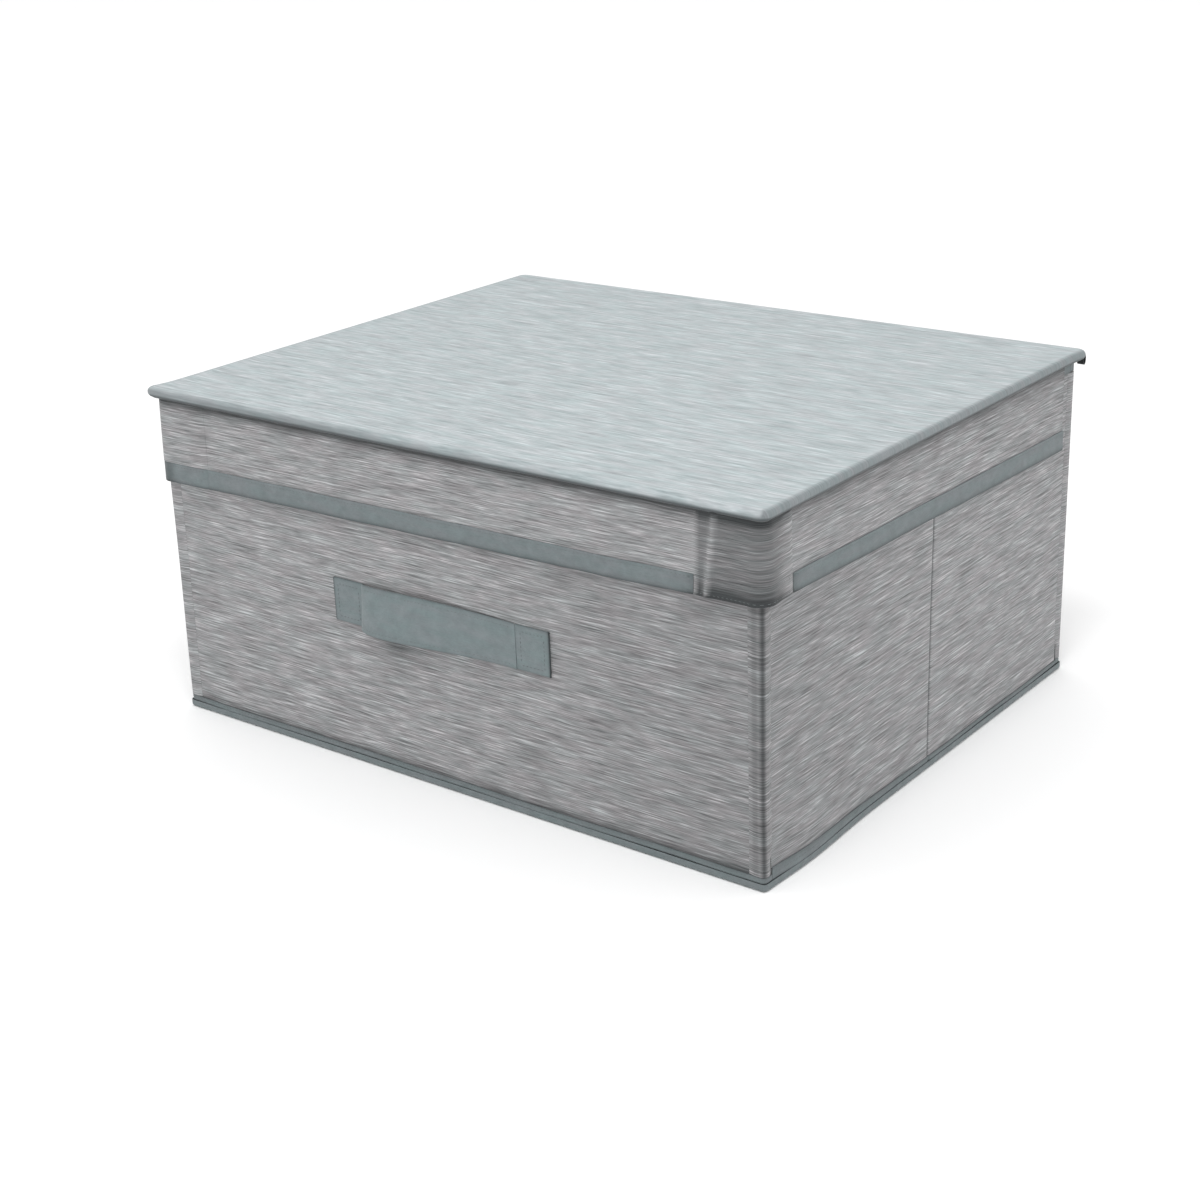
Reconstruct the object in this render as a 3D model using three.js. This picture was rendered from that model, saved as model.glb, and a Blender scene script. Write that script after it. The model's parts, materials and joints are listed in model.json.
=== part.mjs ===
// A collapsible fabric storage box with a hinged lid, in millimetres.
//
// Frame: origin on the floor under the middle of the box, +X to the right, +Y to the back, +Z up.
// The front wall carries the handle and faces -Y. The lid is joined to the back wall by a cloth hinge.
//
// Each wall is a sandwich: printed cover, stiffener board, lining. Both side walls are split at a
// stitched fold line in the middle, so that the box folds flat, front wall to back wall.
import * as THREE from 'three';

// ---- Driving dimensions -------------------------------------------------------------------------

const bodyWidth = 496; // outside, over the printed covers of the two side walls
const bodyDepth = 402; // outside, over the printed covers of the front and back walls
const totalHeight = 242; // floor to the top of the closed lid

const coverCloth = 0.8; // printed non-woven cloth
const liningCloth = 0.6; // plain non-woven cloth inside
const wallBoard = 1.8; // stiffener board in a wall
const lidBoard = 2.4; // stiffener board in the lid
const layerGap = 0.3; // air between layers that lie on each other

const floorCloth = 0.6;
const floorSeamHeight = 3.4; // turned-up seam allowance round the floor cloth
const baseBoard = 1.6;
const baseBoardSlack = 1.2; // loose board to the inside of the walls, each side
const wallLift = 0.4; // walls above the floor seam

const bindingCloth = 0.6; // plain tape that binds the raw edges
const bottomBindingHeight = 5;
const rimBindingHeight = 10;
const bindingInset = 0.3; // tape to the end of the wall layer that it wraps

const foldGap = 3; // between two walls lying face to face when the box is folded
const halfWallGap = 0.5; // each side of the stitched fold line
const cornerGap = 0.3; // end of a half wall to its corner hinge line

const cornerSeamWidth = 10;
const cornerSeamCloth = 0.8;

const handleLength = 184; // over both sewn ends
const handleWidth = 31;
const handleTabLength = 27;
const handleCloth = 1.4;
const handleBow = 11; // how far the grip stands off the front wall
const handleHeight = 118; // middle of the handle above the floor

const rimToLid = 0.5; // top of the walls to the underside of the lid
const flapDrop = 62; // how far the lid's skirt hangs below the lid
const flapClearance = 0.5; // skirt to the widest point of the body
const flapSetback = 20; // rear end of a side flap to the outside of the back wall
const hemHeight = 14;
const hemCloth = 0.6;
const cornerPatchFront = 47; // reach of the corner patch along the front flap
const cornerPatchSide = 30; // reach of the corner patch along a side flap
const edgeRollWidth = 4;
const edgeRollHeight = 5.4;
const edgeRollGap = 0.5; // skirt, or the lid's layers, to the edge roll
const hingeSetback = 6; // hinge line behind the outside of the back wall
const hingeClothDrop = 34; // height of the hinge cloth sewn to the back wall
const hingeClothLow = 6; // top of the hinge cloth below the top of the walls
const lidCornerRadius = 5;

// ---- Values that follow from them ---------------------------------------------------------------

const halfWidth = bodyWidth / 2;
const halfDepth = bodyDepth / 2;
const wallThickness = coverCloth + wallBoard + liningCloth + 2 * layerGap;
const proud = layerGap + cornerSeamCloth; // the corner seams are the widest thing on the body

const lidLiningCloth = liningCloth;
const lidThickness = lidLiningCloth + lidBoard + coverCloth + 2 * layerGap;
const lidBottom = totalHeight - lidThickness;
const wallBottom = floorSeamHeight + wallLift;
const wallTop = lidBottom - rimToLid;

const flapInner = { x: halfWidth + proud + flapClearance, y: halfDepth + proud + flapClearance };
const flapOuter = { x: flapInner.x + coverCloth, y: flapInner.y + coverCloth };
const lidInner = { x: flapOuter.x + edgeRollGap, y: flapOuter.y + edgeRollGap };
const lidHalfWidth = lidInner.x + edgeRollWidth;
const lidFront = -(lidInner.y + edgeRollWidth);
const lidRear = halfDepth + hingeSetback;

const flapTop = lidBottom - layerGap;
const flapBottom = lidBottom - flapDrop;
const flapRear = halfDepth - flapSetback;

// ---- Finishes -----------------------------------------------------------------------------------

const finish = {
  print: { color: 0x989898, roughness: 0.92, metalness: 0 },
  lidPrint: { color: 0xc4cbcd, roughness: 0.9, metalness: 0 },
  tape: { color: 0x7c8586, roughness: 0.88, metalness: 0 },
  lining: { color: 0x8d9192, roughness: 0.95, metalness: 0 },
  board: { color: 0xb59a74, roughness: 0.85, metalness: 0 },
};

// ---- Shape helpers ------------------------------------------------------------------------------

function mesh(name, geometry, look) {
  const piece = new THREE.Mesh(geometry, new THREE.MeshStandardMaterial(finish[look]));
  piece.name = name;
  return piece;
}

/** A box given by its lowest and highest corners. */
function slab(name, low, high, look) {
  const size = high.map((value, i) => value - low[i]);
  const piece = mesh(name, new THREE.BoxGeometry(...size), look);
  piece.position.set(...low.map((value, i) => value + size[i] / 2));
  return piece;
}

function outline(points) {
  return new THREE.Shape(points.map(([u, v]) => new THREE.Vector2(u, v)));
}

/** A plan outline (x, y) raised from one height to another. */
function raised(name, shape, zLow, zHigh, look) {
  const geometry = new THREE.ExtrudeGeometry(shape, {
    depth: zHigh - zLow, bevelEnabled: false, curveSegments: 6,
  });
  const piece = mesh(name, geometry, look);
  piece.position.z = zLow;
  return piece;
}

/** A cross-section (across, up) run along +X from xLow to xHigh. */
function runAlongX(name, shape, xLow, xHigh, look) {
  const geometry = new THREE.ExtrudeGeometry(shape, {
    depth: xHigh - xLow, bevelEnabled: false, curveSegments: 6,
  });
  const turn = new THREE.Matrix4().makeBasis(
    new THREE.Vector3(0, 1, 0), new THREE.Vector3(0, 0, 1), new THREE.Vector3(1, 0, 0),
  );
  geometry.applyMatrix4(turn);
  const piece = mesh(name, geometry, look);
  piece.position.x = xLow;
  return piece;
}

/** The section of a tape folded over an edge: a U whose open side faces up or down. */
function foldedTape(edge, reach) {
  const towards = Math.sign(reach);
  const near = -layerGap;
  const far = wallThickness + layerGap;
  const crease = edge + towards * bindingCloth;
  return outline([
    [near - bindingCloth, edge], [far + bindingCloth, edge],
    [far + bindingCloth, edge + reach], [far, edge + reach],
    [far, crease], [near, crease],
    [near, edge + reach], [near - bindingCloth, edge + reach],
  ]);
}

// ---- Walls --------------------------------------------------------------------------------------

/**
 * One stiff wall, built lying along X with its outside facing -Y at y = 0.
 * The layers go inwards: printed cover, board, lining. Tape binds the rim and the bottom edge.
 */
function wall(name, xLow, xHigh) {
  const low = wallBottom + bindingCloth + bindingInset;
  const high = wallTop - bindingCloth - bindingInset;
  const boardFace = coverCloth + layerGap;
  const liningFace = boardFace + wallBoard + layerGap;
  const group = new THREE.Group();
  group.add(
    slab(`${name}_cover`, [xLow, 0, low], [xHigh, coverCloth, high], 'print'),
    slab(`${name}_board`, [xLow, boardFace, low], [xHigh, boardFace + wallBoard, high], 'board'),
    slab(`${name}_lining`, [xLow, liningFace, low], [xHigh, wallThickness, high], 'lining'),
    runAlongX(`${name}_rim_binding`, foldedTape(wallTop, -rimBindingHeight), xLow, xHigh, 'tape'),
    runAlongX(`${name}_bottom_binding`, foldedTape(wallBottom, bottomBindingHeight), xLow, xHigh, 'tape'),
  );
  return group;
}

/** Tape sewn round an upright corner: one leg on the long wall, one closing the gap to the side wall. */
function cornerSeam(name, side) {
  const outerX = halfWidth + proud;
  const face = -proud;
  const reach = wallThickness + foldGap - layerGap;
  const shape = outline([
    [side * (halfWidth - cornerSeamWidth), face], [side * outerX, face],
    [side * outerX, reach], [side * (outerX - cornerSeamCloth), reach],
    [side * (outerX - cornerSeamCloth), face + cornerSeamCloth],
    [side * (halfWidth - cornerSeamWidth), face + cornerSeamCloth],
  ]);
  const low = wallBottom + bottomBindingHeight + layerGap;
  const high = wallTop - rimBindingHeight - layerGap;
  return raised(name, shape, low, high, 'print');
}

/** A whole wall with its two corner seams. facing is 1 for the front wall, -1 for the back wall. */
function longWall(name, facing) {
  const group = wall(name, -halfWidth, halfWidth);
  for (const [side, sign] of [['left', -1], ['right', 1]]) {
    group.add(cornerSeam(`${name}_corner_seam_${side}`, sign * facing));
  }
  return group;
}

// ---- Handle -------------------------------------------------------------------------------------

const handleGripEnd = handleLength / 2 - handleTabLength;

/** The sewn end of the handle strap, flat on the front wall. */
function handleTab(name, side) {
  const inner = side * (handleGripEnd + layerGap);
  const outer = (side * handleLength) / 2;
  return slab(
    name,
    [Math.min(inner, outer), -layerGap - handleCloth, handleHeight - handleWidth / 2],
    [Math.max(inner, outer), -layerGap, handleHeight + handleWidth / 2],
    'tape',
  );
}

/** The free part of the strap: it leaves one sewn end, bows out, and comes back to the other. */
function handleGrip(name) {
  const steps = 20;
  const middle = layerGap + handleCloth / 2;
  const bow = (t) => middle + handleBow * Math.sin(Math.PI * t) ** 0.7;
  const edge = (offset) => Array.from({ length: steps + 1 }, (_, i) => {
    const t = i / steps;
    return [handleGripEnd * (2 * t - 1), -(bow(t) + offset)];
  });
  const shape = outline([...edge(-handleCloth / 2), ...edge(handleCloth / 2).reverse()]);
  return raised(name, shape, handleHeight - handleWidth / 2, handleHeight + handleWidth / 2, 'tape');
}

// ---- Floor --------------------------------------------------------------------------------------

/** The floor cloth with its seam allowance turned up under the walls. */
function floorParts() {
  const outer = { x: halfWidth + proud, y: halfDepth + proud };
  const inner = { x: halfWidth - wallThickness, y: halfDepth - wallThickness };
  const group = new THREE.Group();
  group.add(floorTray('floor_cloth', outer, inner));
  const x = inner.x - baseBoardSlack;
  const y = inner.y - baseBoardSlack;
  const boardLow = floorCloth + layerGap;
  const clothLow = boardLow + baseBoard + layerGap;
  group.add(
    slab('base_board', [-x, -y, boardLow], [x, y, boardLow + baseBoard], 'board'),
    slab('base_board_cover', [-x, -y, clothLow], [x, y, floorSeamHeight], 'lining'),
  );
  return group;
}

/** A shallow tray: a sheet with a low solid rim, as one closed surface. */
function floorTray(name, outer, inner) {
  const signs = [[-1, -1], [1, -1], [1, 1], [-1, 1]];
  const corners = (half, z) => signs.map(([sx, sy]) => [sx * half.x, sy * half.y, z]);
  const loops = [
    corners(outer, 0), corners(outer, floorSeamHeight),
    corners(inner, floorSeamHeight), corners(inner, floorCloth),
  ];
  const triangles = [];
  const quad = (a, b, c, d) => triangles.push(a, b, c, a, c, d);
  for (let level = 0; level < loops.length - 1; level += 1) {
    for (let i = 0; i < 4; i += 1) {
      const next = (i + 1) % 4;
      quad(loops[level][i], loops[level][next], loops[level + 1][next], loops[level + 1][i]);
    }
  }
  quad(loops[0][3], loops[0][2], loops[0][1], loops[0][0]);
  quad(...loops[3]);
  const geometry = new THREE.BufferGeometry();
  geometry.setAttribute('position', new THREE.Float32BufferAttribute(triangles.flat(), 3));
  geometry.computeVertexNormals();
  return mesh(name, geometry, 'tape');
}

// ---- Lid ----------------------------------------------------------------------------------------

/** A rounded rectangle from the lid's front edge roll to its rear one. */
function lidPanel(inset, radius) {
  const x = lidInner.x - inset;
  const front = -(lidInner.y - inset);
  const rear = lidRear - edgeRollWidth - inset;
  const shape = new THREE.Shape();
  shape.moveTo(-x + radius, front);
  shape.lineTo(x - radius, front);
  shape.absarc(x - radius, front + radius, radius, -Math.PI / 2, 0);
  shape.lineTo(x, rear - radius);
  shape.absarc(x - radius, rear - radius, radius, 0, Math.PI / 2);
  shape.lineTo(-x + radius, rear);
  shape.absarc(-x + radius, rear - radius, radius, Math.PI / 2, Math.PI);
  shape.lineTo(-x, front + radius);
  shape.absarc(-x + radius, front + radius, radius, Math.PI, 1.5 * Math.PI);
  return shape;
}

/** The section of the rolled edge of the lid: a flat-sided oval. */
function rollSection() {
  const radius = edgeRollWidth / 2;
  const low = totalHeight - edgeRollHeight + radius;
  const high = totalHeight - radius;
  const shape = new THREE.Shape();
  shape.absarc(0, low, radius, Math.PI, 2 * Math.PI);
  shape.absarc(0, high, radius, 0, Math.PI);
  return shape;
}

function lidEdgeRolls() {
  const group = new THREE.Group();
  for (const [name, y] of [['front', lidFront + edgeRollWidth / 2], ['back', lidRear - edgeRollWidth / 2]]) {
    const roll = runAlongX(`lid_edge_${name}`, rollSection(), -lidHalfWidth, lidHalfWidth, 'lidPrint');
    roll.position.y = y;
    group.add(roll);
  }
  const low = lidFront + edgeRollWidth + layerGap;
  const high = lidRear - edgeRollWidth - layerGap;
  for (const [name, side] of [['left', -1], ['right', 1]]) {
    const roll = runAlongX(`lid_edge_${name}`, rollSection(), low, high, 'lidPrint');
    const holder = new THREE.Group();
    holder.rotation.z = Math.PI / 2;
    holder.position.x = side * (lidHalfWidth - edgeRollWidth / 2);
    holder.add(roll);
    group.add(holder);
  }
  return group;
}

/** The skirt on three sides of the lid, with its hem tape. */
function lidSkirt() {
  const frontHalf = flapInner.x - layerGap;
  const hemFront = -flapOuter.y - layerGap;
  const hemSide = flapOuter.x + layerGap;
  const hemTop = flapBottom + hemHeight;
  const hemReach = flapOuter.x - cornerPatchFront;
  const group = new THREE.Group();
  group.add(
    slab(
      'front_flap', [-frontHalf, -flapOuter.y, flapBottom], [frontHalf, -flapInner.y, flapTop], 'print',
    ),
    slab(
      'front_flap_hem', [-hemReach, hemFront - hemCloth, flapBottom], [hemReach, hemFront, hemTop], 'tape',
    ),
  );
  for (const [name, side] of [['left', -1], ['right', 1]]) {
    const across = (inner, outer) => [side * inner, side * outer].sort((a, b) => a - b);
    const [flapLow, flapHigh] = across(flapInner.x, flapOuter.x);
    const [hemLow, hemHigh] = across(hemSide, hemSide + hemCloth);
    const hemStart = -flapOuter.y + cornerPatchSide;
    group.add(
      slab(`${name}_flap`, [flapLow, -flapOuter.y, flapBottom], [flapHigh, flapRear, flapTop], 'print'),
      slab(`${name}_flap_hem`, [hemLow, hemStart, flapBottom], [hemHigh, flapRear, hemTop], 'tape'),
      skirtCorner(`${name}_corner_patch`, side, coverCloth, hemTop + layerGap,
        totalHeight - edgeRollHeight - layerGap, 'print'),
      skirtCorner(`${name}_corner_hem`, side, hemCloth, flapBottom, hemTop, side > 0 ? 'print' : 'tape'),
    );
  }
  return group;
}

/** Cloth folded round a front corner of the skirt, on the outside of both flaps; the right hem is print. */
function skirtCorner(name, side, cloth, zLow, zHigh, look) {
  const inner = { x: flapOuter.x + layerGap, y: flapOuter.y + layerGap };
  const outer = { x: inner.x + cloth, y: inner.y + cloth };
  const startX = flapOuter.x - cornerPatchFront + layerGap;
  const endY = -flapOuter.y + cornerPatchSide - layerGap;
  const shape = outline([
    [side * startX, -outer.y], [side * outer.x, -outer.y], [side * outer.x, endY],
    [side * inner.x, endY], [side * inner.x, -inner.y], [side * startX, -inner.y],
  ]);
  return raised(name, shape, zLow, zHigh, look);
}

function lid() {
  const boardLow = lidBottom + lidLiningCloth + layerGap;
  const coverLow = boardLow + lidBoard + layerGap;
  const panel = lidPanel(layerGap, lidCornerRadius);
  const group = new THREE.Group();
  group.add(
    raised('lid_lining', panel, lidBottom, lidBottom + lidLiningCloth, 'lining'),
    raised('lid_board', panel, boardLow, boardLow + lidBoard, 'board'),
    raised('lid_cover', panel, coverLow, coverLow + coverCloth, 'lidPrint'),
    lidEdgeRolls(),
    lidSkirt(),
  );
  return group;
}

/** The cloth hinge, sewn to the outside of the back wall below the lid's rear edge. */
function hingeCloth() {
  const face = halfDepth + proud + layerGap;
  const high = wallTop - hingeClothLow;
  const half = halfWidth - cornerSeamWidth;
  return slab('hinge_cloth', [-half, face, high - hingeClothDrop], [half, face + coverCloth, high], 'print');
}

// ---- The box ------------------------------------------------------------------------------------

const box = new THREE.Group();

const frontWall = longWall('front', 1);
frontWall.position.y = -halfDepth;
frontWall.add(handleTab('handle_tab_left', -1), handleTab('handle_tab_right', 1), handleGrip('handle_grip'));

const backWall = longWall('back', -1);
backWall.rotation.z = Math.PI;
backWall.position.y = halfDepth;

box.add(floorParts(), frontWall, backWall, hingeCloth(), lid());

// A half side wall reaches from the stitched fold line to the hinge line at its corner.
const cornerHinge = halfDepth - wallThickness - foldGap - cornerGap;
for (const [side, sign] of [['left', -1], ['right', 1]]) {
  for (const [end, way] of [['front', -1], ['rear', 1]]) {
    const along = sign * way;
    const ends = [along * halfWallGap, along * cornerHinge];
    const half = wall(`${end}_${side}`, Math.min(...ends), Math.max(...ends));
    half.rotation.z = (sign * Math.PI) / 2;
    half.position.x = sign * halfWidth;
    box.add(half);
  }
}

export default box;
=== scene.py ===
# %% [markdown]
# # A folding storage box with a cloth skin
# The real box is sewn, not moulded: flat boards stand between a printed outer cloth and a plain grey
# lining, and tape binds every raw edge. So this script works as the sewing room does. Each cloth is
# cut flat on a table, given its thickness there, and then laid on the box by a rule that says where
# each point of the flat cut ends up. Whatever is sewn to a cloth (tape, stitches) is laid by the same
# rule, so it follows every wave of the cloth under it.

# %% Load the fixed frame
import itertools
import json
import math

import bpy
import numpy as np
from mathutils import Matrix, Vector


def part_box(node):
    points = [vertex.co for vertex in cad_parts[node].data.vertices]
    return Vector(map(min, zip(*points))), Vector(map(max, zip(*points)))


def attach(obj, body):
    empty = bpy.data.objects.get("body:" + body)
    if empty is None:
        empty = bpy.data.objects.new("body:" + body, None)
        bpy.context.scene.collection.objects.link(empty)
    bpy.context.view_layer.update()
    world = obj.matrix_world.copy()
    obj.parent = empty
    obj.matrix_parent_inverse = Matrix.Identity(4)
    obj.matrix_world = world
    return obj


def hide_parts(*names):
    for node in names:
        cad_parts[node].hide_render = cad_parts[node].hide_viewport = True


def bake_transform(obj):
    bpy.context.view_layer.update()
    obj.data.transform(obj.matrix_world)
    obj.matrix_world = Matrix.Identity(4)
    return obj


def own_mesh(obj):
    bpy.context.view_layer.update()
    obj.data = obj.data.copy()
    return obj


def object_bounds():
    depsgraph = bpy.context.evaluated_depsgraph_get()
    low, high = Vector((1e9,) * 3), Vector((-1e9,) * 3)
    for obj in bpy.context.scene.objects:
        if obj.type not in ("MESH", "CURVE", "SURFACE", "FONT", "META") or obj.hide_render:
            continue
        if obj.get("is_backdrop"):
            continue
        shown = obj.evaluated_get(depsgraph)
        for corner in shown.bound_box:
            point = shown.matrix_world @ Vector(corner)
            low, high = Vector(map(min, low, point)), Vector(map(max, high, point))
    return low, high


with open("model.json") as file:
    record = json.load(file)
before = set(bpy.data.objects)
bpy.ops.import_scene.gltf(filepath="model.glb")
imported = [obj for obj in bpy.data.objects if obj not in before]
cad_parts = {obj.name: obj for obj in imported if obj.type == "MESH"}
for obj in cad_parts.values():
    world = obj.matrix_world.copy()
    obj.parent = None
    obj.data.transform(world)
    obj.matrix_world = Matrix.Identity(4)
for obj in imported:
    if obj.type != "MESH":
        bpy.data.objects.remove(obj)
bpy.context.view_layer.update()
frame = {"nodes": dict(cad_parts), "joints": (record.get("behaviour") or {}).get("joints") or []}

MM = 0.001

# %% [markdown]
# ## The camera
# A camera can be turned by three angles, or by writing down where its own axes point. The second way
# is used here because the view also has a small roll, and with axes the roll is only a mix of the
# camera's right and up.

# %% Camera
azimuth, elevation, roll = (math.radians(a) for a in (37.864, 21.356, -2.0515))
right = Vector((math.cos(azimuth), math.sin(azimuth), 0))
backward = Vector((math.sin(azimuth) * math.cos(elevation), -math.cos(azimuth) * math.cos(elevation),
                   math.sin(elevation)))
up = backward.cross(right)
turned_right = right * math.cos(roll) + up * math.sin(roll)
turned_up = up * math.cos(roll) - right * math.sin(roll)

lens = bpy.data.cameras.new("camera")
lens.lens, lens.sensor_width = 61.11, 36
camera = bpy.data.objects.new("camera", lens)
camera.matrix_world = Matrix.Translation((0.8330, -1.1027, 0.6096)) @ Matrix(
    (turned_right, turned_up, backward)).transposed().to_4x4()
bpy.context.scene.collection.objects.link(camera)
bpy.context.scene.camera = camera

# %% [markdown]
# ## Floor and light
# A studio shows such a box in a white tent: the light comes from all round, and the ground is pure
# white. A white world does that. One lamp above the front adds a direction, so that the lid is the
# brightest face and its lip and the handle cast soft shadows. A sun would be simpler, but the edges of
# its shadows are too hard.

# %% Light and floor
scene = bpy.context.scene
scene.view_settings.view_transform = "Standard"

world = bpy.data.worlds.new("studio")
world.use_nodes = True
world.node_tree.nodes["Background"].inputs["Color"].default_value = (1, 1, 1, 1)
world.node_tree.nodes["Background"].inputs["Strength"].default_value = 1.03
scene.world = world


def soft_lamp(name, place, aim, width, power):
    """A square area lamp that looks from its place at its aim."""
    lamp = bpy.data.lights.new(name, "AREA")
    lamp.size, lamp.energy = width, power
    lamp_object = bpy.data.objects.new(name, lamp)
    lamp_object.location = place
    lamp_object.rotation_euler = (Vector(aim) - Vector(place)).to_track_quat("-Z", "Y").to_euler()
    scene.collection.objects.link(lamp_object)


soft_lamp("front_lamp", (0.4, -0.8, 1.9), (0, -0.1, 0.1), 0.5, 11)

bpy.ops.object.select_all(action="DESELECT")
bpy.ops.mesh.primitive_plane_add(size=12, location=(0, 0, -0.4 * MM))
floor = bpy.context.object
floor.name = "floor"
floor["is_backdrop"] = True

# %% [markdown]
# ## Helpers for materials
# A material is a small chain of nodes. One function adds any node, sets its options and links its
# inputs. Colours are written as the hex values a designer would pick from a screen, and one function
# turns them into the linear values that Blender computes with.


# %% Node and colour helpers
def linear(code):
    """An sRGB hex colour as linear red, green, blue and alpha."""
    channels = [int(code[i:i + 2], 16) / 255 for i in (1, 3, 5)]
    return *(c / 12.92 if c <= 0.04045 else ((c + 0.055) / 1.055) ** 2.4 for c in channels), 1


def add_node(tree, kind, inputs=None, **settings):
    """One node of that kind; an input is a value or the output it is linked to."""
    made = tree.nodes.new("ShaderNode" + kind)
    for name, value in settings.items():
        setattr(made, name, value)
    for key, value in (inputs or {}).items():
        if isinstance(value, bpy.types.NodeSocket):
            tree.links.new(value, made.inputs[key])
        else:
            made.inputs[key].default_value = value
    return made


def new_material(name, roughness, **uniform):
    """An empty material with its shader, and its node tree."""
    material = bpy.data.materials.new(name)
    material.use_nodes = True
    shader = material.node_tree.nodes["Principled BSDF"]
    shader.inputs["Roughness"].default_value = roughness
    for socket, value in uniform.items():
        shader.inputs[socket.replace("_", " ")].default_value = value
    return material, material.node_tree, shader


# %% [markdown]
# ## The printed non-woven cloth
# The skin is spun-bonded polypropylene, printed with a linen look: fine broken streaks along the bolt,
# lighter and darker than the ground, a little warmer here and cooler there. Noise stretched along the
# streaks gives this. It reads the cloth's own UV map, which is the flat cut in metres, so the streaks
# turn with the cloth and keep their real size: 0.5 to 3 mm thick and 9 to 50 mm long. A point
# attribute of the cloth, from 0 to 1, darkens it. It is mostly painted shade: under the lid's lip,
# along edges, bends and seams, and below the handle. In a few places it is darker cloth.


# %% Streaked print
def noise(tree, cut, long, thick, detail=2.0, roughness=0.55):
    """Noise on the flat cut whose blotches are about that long (u) and thick (v), in millimetres."""
    scaled = add_node(tree, "Mapping", {"Vector": cut, "Scale": (1 / (long * MM), 1 / (thick * MM), 1)})
    return add_node(tree, "TexNoise", {"Vector": scaled.outputs["Vector"], "Scale": 1.0, "Detail": detail,
                                       "Roughness": roughness}).outputs["Fac"]


def math_of(tree, operation, a, b):
    """The output of one Math node on two inputs."""
    return add_node(tree, "Math", {0: a, 1: b}, operation=operation).outputs[0]


def wandering_cut(tree, drift):
    """The flat cut, in metres, with its rows drifting slowly up and down by a little, as a print's do."""
    cut = add_node(tree, "UVMap", uv_map="cut").outputs["UV"]
    slow = noise(tree, cut, 90, 30, detail=1.0)
    shift = add_node(tree, "CombineXYZ", {"Y": math_of(tree, "MULTIPLY", slow, drift * MM)})
    wandering = add_node(tree, "VectorMath", {0: cut, 1: shift.outputs["Vector"]}, operation="ADD")
    return cut, wandering.outputs["Vector"]


def tinted(tree, colour, cut, warm, cool, shadow):
    """The colour with a slow change of cast, and darker where shade is painted on the cloth."""
    cast = add_node(tree, "MapRange", {"Value": noise(tree, cut, 26, 7, detail=3.0), "From Min": 0.38,
                                       "From Max": 0.62}).outputs["Result"]
    casts = add_node(tree, "Mix", {"Factor": cast, 6: linear(warm), 7: linear(cool)}, data_type="RGBA")
    toned = add_node(tree, "Mix", {"Factor": 1.0, 6: colour, 7: casts.outputs[2]}, data_type="RGBA",
                     blend_type="MULTIPLY")
    # The point attribute read here is mostly painted shade, and in a few places darker cloth.
    painted_shade_and_tone = add_node(tree, "Attribute", attribute_name="painted_shade_and_tone").outputs["Fac"]
    darkened = add_node(tree, "Mix", {"Factor": painted_shade_and_tone, 6: toned.outputs[2], 7: linear(shadow)},
                        data_type="RGBA", blend_type="MULTIPLY")
    return darkened.outputs[2]


def pressed_points(tree, cut, pitch, fibres):
    """Height of a spun-bonded cloth: small welded points at that pitch in millimetres, and loose fibres."""
    scaled = add_node(tree, "Mapping", {"Vector": cut, "Scale": (1 / (pitch * MM), 1 / (pitch * MM), 1),
                                        "Rotation": (0, 0, math.radians(45))}).outputs["Vector"]
    points = add_node(tree, "TexVoronoi", {"Vector": scaled, "Scale": 1.0, "Randomness": 0.12},
                      feature="SMOOTH_F1").outputs["Distance"]
    fibre = noise(tree, cut, 2.2, 0.5, detail=3.0)
    return math_of(tree, "ADD", points, math_of(tree, "MULTIPLY", fibre, fibres))


def streaked_print(name, stops, streaks, weights, calm, warm, cool, shadow, bump):
    """Spun-bonded cloth, printed with linen streaks: (length, thickness) in mm, and each one's weight.

    stops are (position, colour) from the dark streaks to the light ones, and calm is how far the
    streaks fade where the cloth is painted darker, mostly as painted shade."""
    material, tree, shader = new_material(
        name, roughness=0.78, Sheen_Weight=0.12, Sheen_Roughness=0.5, IOR=1.49)
    cut, wandering = wandering_cut(tree, drift=2)
    layers = [noise(tree, wandering, long, thick) for long, thick in streaks]
    total = math_of(tree, "MULTIPLY", layers[0], weights[0])
    for layer, weight in zip(layers[1:], weights[1:]):
        total = math_of(tree, "ADD", total, math_of(tree, "MULTIPLY", layer, weight))
    # Where shade is painted on the cloth, its streaks fade as well.
    painted_shade_and_tone = add_node(tree, "Attribute", attribute_name="painted_shade_and_tone").outputs["Fac"]
    fade = math_of(tree, "MULTIPLY", painted_shade_and_tone, calm)
    total = add_node(tree, "Mix", {0: fade, 2: total, 3: 0.5}).outputs[0]
    ramp = add_node(tree, "ValToRGB", {"Fac": total})
    while len(ramp.color_ramp.elements) < len(stops):
        ramp.color_ramp.elements.new(0.5)
    for element, (position, code) in zip(ramp.color_ramp.elements, stops):
        element.position, element.color = position, linear(code)
    colour = tinted(tree, ramp.outputs["Color"], cut, warm, cool, shadow)
    height = pressed_points(tree, cut, 1.6, fibres=1.2)
    raised = add_node(tree, "Bump", {"Height": height, "Strength": bump, "Distance": 0.15 * MM})
    tree.links.new(colour, shader.inputs["Base Color"])
    tree.links.new(raised.outputs["Normal"], shader.inputs["Normal"])
    return material


WALL_STREAKS = ((28, 0.75), (50, 1.3), (11, 0.55), (30, 12))
LID_STREAKS = ((24, 1.4), (45, 2.6), (9, 0.9), (45, 16))
wall_print = streaked_print(
    "printed_nonwoven_wall", [(0.37, "#565758"), (0.45, "#7A7A7B"), (0.5, "#8B8B8C"), (0.55, "#9C9C9D"),
                              (0.63, "#C9C9CB")],
    WALL_STREAKS, (0.42, 0.24, 0.24, 0.1), 0.0, "#FFFCFD", "#F8FCFC", "#565C5E", bump=0.4)
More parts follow.
